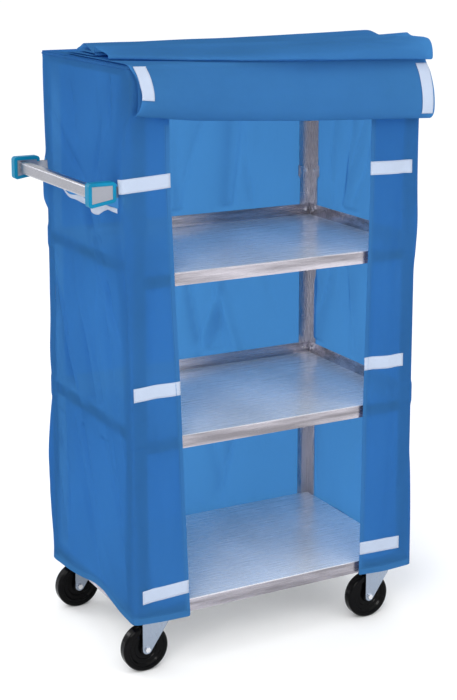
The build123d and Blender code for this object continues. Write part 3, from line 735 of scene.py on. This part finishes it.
# Name, place round the wall at each end, and height of the lower edge at each end
PATCHES = [
    ("left_top", -0.114, 0.020, 1.285, 1.276),
    ("left_middle", -0.1375, -0.013, 0.752, 0.746),
    ("left_bottom", -0.1585, -0.026, 0.212, 0.206),
    ("right_top", 1.996, 2.131, 1.268, 1.272),
    ("right_middle", 2.010, 2.139, 0.733, 0.738),
    ("right_bottom", 2.016, 2.1455, 0.207, 0.211),
]
for label, start, end, z_start, z_end in PATCHES:
    line = np.linspace(start, end, 15)
    on_cover(
            f"tape_{label}", line,
            lambda s, a=start, b=end, p=z_start, q=z_end: p + (q - p) * (s - a) / (b - a),
            TAPE_WIDTH, TAPE_LIFT, 7, white_tape,
        )
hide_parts("flap_patches")

trim_line = np.linspace(HALF_D - SLOT_END + 0.008, HALF_D + SLOT_END - 0.008, 60)
facing_height = knots(trim_line - HALF_D, FACING)
slot_trim = on_cover(
    "slot_facing", trim_line,
    lambda s: knots(s - HALF_D, SLOT_LOW) - 0.0005 - knots(s - HALF_D, FACING) + 0.0012 * np.sin(s * 60),
    facing_height, TAPE_LIFT, 6, white_tape,
)
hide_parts("handle_slot_trim")

# Hem all round, a turned edge up each side of the door, and the corded seam round the top
EDGE_ROWS, SEAM_COLS, SEAM_ROWS, SEAM_W = 110, 260, 7, 0.0070
left_hem = float(flap_width(np.array(HEM), LEFT_FLAP, 1))
right_hem = float(flap_width(np.array(HEM), RIGHT_FLAP, -1))
hem_line = np.linspace(-left_hem, FRONT_RIGHT + right_hem, 230)
sewn = [
    on_cover(
        "hem_band", hem_line, lambda s: knots(s, HEM_LINE) + 0.0004,
        HEM_W, 0.0007, 4, hem_blue, 0.0,
    )
]
edge_z = np.tile(np.linspace(0.152, 1.440, EDGE_ROWS)[:, None], (1, 3))
edge_v = np.tile(np.linspace(0.0, EDGE_W, 3)[None, :], (EDGE_ROWS, 1))
edge_uv = np.stack([edge_z, edge_v], -1)
edge_s = -flap_width(edge_z, LEFT_FLAP, 1) + edge_v + 0.0003
sewn.append(band("door_edge_left", edge_s, edge_z, edge_uv, 0.0005, edge_blue))
edge_s = FRONT_RIGHT + flap_width(edge_z, RIGHT_FLAP, -1) - edge_v - 0.0003
sewn.append(band("door_edge_right", edge_s, edge_z, edge_uv, 0.0005, edge_blue))
cord_s = np.tile(np.linspace(-0.100, FRONT_RIGHT + 0.140, SEAM_COLS)[None, :], (SEAM_ROWS, 1))
cord_v = np.tile(np.linspace(0.0, SEAM_W, SEAM_ROWS)[:, None], (1, SEAM_COLS))
cord_uv = np.stack([cord_s, cord_v], -1)
cord_lift = 0.0002 + 0.0019 * np.sin(np.pi * cord_v / SEAM_W)
sewn.append(band("top_seam", cord_s, TOP - 0.0100 + cord_v, cord_uv, cord_lift, cloth_blue))

cover.data.materials.append(cloth_blue)
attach(cover, "chassis")
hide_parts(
    "cover_left", "cover_right", "cover_back", "cover_top", "front_flap_left", "front_flap_right"
)

# ---- Door curtain: seam at the top front edge, a fold that hangs in front, and a bundle on the top

STATIONS = [0.0, 0.18, 0.55, 1.0]  # shares of the way from the left end to the right end
# x at the left and right ends, then y and z at the four stations, in millimetres
CURTAIN = [
    (-424, 428, (-279.5, 1588), (-279.5, 1588), (-279.5, 1588), (-279.5, 1588)),
    (-420, 429, (-284, 1560), (-283, 1560), (-283, 1560), (-283, 1560)),
    (-418, 430, (-287, 1520), (-286, 1512), (-285, 1505), (-284, 1498)),
    (-420, 430, (-289, 1484), (-288, 1468), (-287, 1452), (-286, 1440)),
    (-424, 430, (-296, 1470), (-300, 1452), (-299, 1434), (-298, 1420)),
    (-422, 432, (-310, 1473), (-316, 1454), (-319, 1435), (-320, 1420)),
    (-418, 433, (-329, 1494), (-333, 1476), (-334, 1458), (-334, 1442)),
    (-416, 432, (-332, 1525), (-333, 1512), (-333, 1500), (-333, 1490)),
    (-420, 430, (-314, 1558), (-315, 1550), (-316, 1542), (-318, 1536)),
    (-426, 428, (-288, 1581), (-292, 1576), (-296, 1570), (-298, 1565)),
    (-428, 425, (-264, 1591), (-274, 1591), (-282, 1589), (-283, 1588)),
    (-425, 422, (-150, 1591), (-200, 1592), (-230, 1592), (-240, 1593)),
    (-420, 420, (60, 1591), (40, 1592), (-10, 1592), (-90, 1593)),
    (-415, 418, (128, 1593), (118, 1594), (45, 1595), (-66, 1597)),
    (-412, 416, (60, 1595), (40, 1596), (0, 1597), (-100, 1600)),
    (-408, 414, (-20, 1594), (-80, 1595), (-160, 1598), (-225, 1602)),
    (-404, 412, (-28, 1597), (-90, 1598), (-170, 1602), (-236, 1607)),
    (-400, 412, (-10, 1599), (-70, 1600), (-150, 1605), (-215, 1611)),
    (-395, 414, (60, 1599), (40, 1600), (-40, 1603), (-120, 1608)),
    (-385, 418, (135, 1599), (122, 1600), (55, 1602), (-72, 1606)),
    (-370, 420, (146, 1606), (138, 1607), (74, 1612), (-80, 1628)),
    (-362, 420, (139, 1614), (130, 1614), (66, 1620), (-97, 1641)),
    (-372, 424, (90, 1607), (70, 1610), (30, 1617), (-110, 1628)),
    (-386, 430, (26, 1598), (-8, 1602), (-60, 1609), (-122, 1612)),
    (-392, 418, (2, 1606), (-44, 1609), (-124, 1616), (-180, 1626)),
    (-398, 404, (-10, 1617), (-66, 1619), (-172, 1623), (-236, 1640)),
    (-404, 412, (-26, 1619), (-84, 1620), (-194, 1624), (-252, 1632)),
    (-410, 439, (-60, 1614), (-124, 1615), (-222, 1620), (-270, 1629)),
    (-414, 441, (-104, 1609), (-200, 1611), (-276, 1615), (-292, 1624)),
    (-417, 438, (-136, 1604), (-262, 1605), (-310, 1603), (-309, 1606)),
    (-418, 436, (-142, 1596), (-274, 1596), (-318, 1588), (-314, 1576)),
    (-416, 431, (-128, 1591), (-256, 1591), (-300, 1582), (-299, 1573)),
]


def resample(track, count):
    """Catmull-Rom curve through a track's points, at count evenly spaced parameters."""
    track = np.asarray(track)
    padded = np.concatenate([track[:1], track, track[-1:]])
    t = np.linspace(0, len(track) - 1, count)
    i = np.minimum(t.astype(int), len(track) - 2)
    f = (t - i).reshape((-1,) + (1,) * (track.ndim - 1))
    a, b, c, d = (padded[i + k] for k in range(4))
    return 0.5 * (2 * b + (c - a) * f + (2 * a - 5 * b + 4 * c - d) * f**2 + (3 * b - a - 3 * c + d) * f**3)


def softened(values, passes):
    """Blur along the first axis, with the ends held."""
    for _ in range(passes):
        values[1:-1] = (values[:-2] + 2 * values[1:-1] + values[2:]) / 4
    return values


n_across, n_around = 73, 190
u_line = np.linspace(0, 1, n_across)
rows = []
for x0, x1, *stations in CURTAIN:
    ys = np.interp(u_line, STATIONS, [p[0] for p in stations])
    zs = np.interp(u_line, STATIONS, [p[1] for p in stations])
    rows.append(np.stack([x0 + (x1 - x0) * u_line, softened(ys, 12), softened(zs, 12)], -1) / 1000)
curtain_grid = resample(np.array(rows), n_around)
knot_row = np.linspace(0, len(CURTAIN) - 1, n_around)[:, None]
uu = np.tile(u_line, (n_around, 1))
# knot_row counts CURTAIN's rows, so that each change below falls on a known part of the fold
hanging = 1 - smooth((knot_row - 9.0) / 1.5)
on_top = smooth((knot_row - 20.0) / 2.0)
front_face = hanging * smooth((knot_row - 4.0) / 2.0)
wave = ripple(uu, knot_row / 6 + 0 * uu, (0.14, 0.5), 2.3)
curtain_grid[..., 1] -= 0.0035 * wave * front_face
curtain_grid[..., 2] += 0.0020 * wave * on_top
back_ridge = smooth((knot_row - 19.0) / 1.2) * (1 - smooth((knot_row - 21.8) / 1.2))
curtain_grid[..., 2] -= 0.017 * back_ridge * smooth((uu - 0.955) / 0.045)
inner_layer = 1 - smooth((knot_row - 3.6) / 0.8)
corner_s = -(curtain_grid[..., 0] + HALF_W)
curtain_grid[..., 1] -= inner_layer * (front_swell(corner_s, curtain_grid[..., 2]) + 0.0010)
gaps = np.linalg.norm(np.diff(curtain_grid, axis=0), axis=-1)
lengths = np.concatenate([np.zeros((1, n_across)), np.cumsum(gaps, axis=0)])
curtain_uv = np.stack([curtain_grid[..., 0], lengths], -1)
curtain_faces = strip_faces(n_around, n_across)
curtain_points = curtain_grid.reshape(-1, 3) + MID
curtain = to_mesh("door_curtain_cloth", curtain_points, curtain_faces, curtain_uv.reshape(-1, 2))
subdivided(curtain)


def curtain_normal(grid):
    across = np.gradient(grid, axis=1)
    around = np.gradient(grid, axis=0)
    found = np.cross(across, around)
    return found / (np.linalg.norm(found, axis=-1, keepdims=True) + 1e-12)


def on_curtain(name, x_from, x_to, knot_from, knot_to, lift):
    """Strip of tape on the front of the hanging fold."""
    normal = curtain_normal(curtain_grid)
    cols = np.linspace(x_from, x_to, 8)
    steps = np.linspace(knot_from, knot_to, 24) / (len(CURTAIN) - 1) * (n_around - 1)
    spots = np.zeros((len(steps), len(cols), 3))
    for r, step in enumerate(steps):
        i = int(step)
        f = step - i
        line = curtain_grid[i] * (1 - f) + curtain_grid[i + 1] * f
        turn = normal[i] * (1 - f) + normal[i + 1] * f
        for c, x in enumerate(cols):
            spots[r, c] = [np.interp(x, line[:, 0], line[:, axis]) for axis in range(3)]
            facing = np.array([np.interp(x, line[:, 0], turn[:, axis]) for axis in range(3)])
            if facing[1] > 0:
                facing = -facing
            spots[r, c] += facing / np.linalg.norm(facing) * lift
    flat = np.stack(np.meshgrid(cols, np.arange(len(steps)) * 0.004), -1)
    tape_faces = strip_faces(len(steps), len(cols))
    made = to_mesh(name, spots.reshape(-1, 3) + MID, tape_faces, flat.reshape(-1, 2))
    thickened(made, 0.0009, 0.0)
    made.data.materials.append(white_tape)
    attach(made, "chassis")
    return made


strips = [
    on_curtain("curtain_tape_left", -0.4175, -0.384, 6.55, 9.35, 0.0016),
    on_curtain("curtain_tape_right", 0.392, 0.427, 5.7, 8.9, 0.0016),
]
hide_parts("curtain_strips")
curtain.data.materials.append(curtain_blue)
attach(curtain, "chassis")
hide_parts("door_curtain")

# ---- Camera, light and floor

camera_data = bpy.data.cameras.new("camera")
camera = bpy.data.objects.new("camera", camera_data)
scene.collection.objects.link(camera)
scene.camera = camera
camera.location = (-1.9290, -3.6319, 1.9133)
camera.rotation_euler = (math.pi / 2 - 0.1928, 0.0, -0.4945)
camera_data.lens = 79.8
camera_data.sensor_width = 36.0
camera_data.shift_y = -0.171
camera_data.clip_end = 400.0
camera_data.dof.use_dof = False


def area_light(name, spot, target, size, power, tone=(1.0, 1.0, 1.0)):
    data = bpy.data.lights.new(name, "AREA")
    data.shape = "RECTANGLE"
    data.size, data.size_y = size
    data.energy = power
    data.color = tone
    made = bpy.data.objects.new(name, data)
    scene.collection.objects.link(made)
    made.location = spot
    made.rotation_euler = (Vector(target) - Vector(spot)).to_track_quat("-Z", "Y").to_euler()
    return made


area_light("key", (-2.7, -3.5, 3.2), (0.0, 0.0, 0.9), (1.8, 1.8), 92.0, (1.0, 0.99, 0.97))
area_light("front_fill", (2.4, -3.8, 1.8), (0.0, 0.0, 0.8), (2.4, 2.0), 34.0, (0.96, 0.98, 1.0))
area_light("rear", (-2.6, 3.0, 2.2), (0.0, 0.0, 0.9), (1.5, 1.5), 34.0)
sun_data = bpy.data.lights.new("overhead", "SUN")
sun_data.energy = 0.9
sun_data.angle = math.radians(70)
sun = bpy.data.objects.new("overhead", sun_data)
scene.collection.objects.link(sun)
sun.rotation_euler = (math.radians(14), math.radians(-16), 0.0)

world = bpy.data.worlds.new("studio")
scene.world = world
world.use_nodes = True
backdrop = world.node_tree.nodes["Background"]
backdrop.inputs["Color"].default_value = (0.97, 0.985, 1.0, 1.0)
backdrop.inputs["Strength"].default_value = 0.92
scene.view_settings.view_transform = "Standard"

floor_mesh = bpy.data.meshes.new("studio_floor")
FLOOR = 150.0
floor_corners = [(-FLOOR, -FLOOR, 0), (FLOOR, -FLOOR, 0), (FLOOR, FLOOR, 0), (-FLOOR, FLOOR, 0)]
floor_mesh.from_pydata(floor_corners, [], [(0, 1, 2, 3)])
studio_floor = bpy.data.objects.new("studio_floor", floor_mesh)
scene.collection.objects.link(studio_floor)
paint = Shader("floor_paint")
mottle = paint.noise((1.2, 1.2, 1.2), 3.0)
paint.put("Base Color", paint.blend(mottle, (0.90, 0.90, 0.90), (0.93, 0.93, 0.93)))
paint.put("Roughness", 0.75)
paint.put("Specular IOR Level", 0.2)
floor_mesh.materials.append(paint.material)
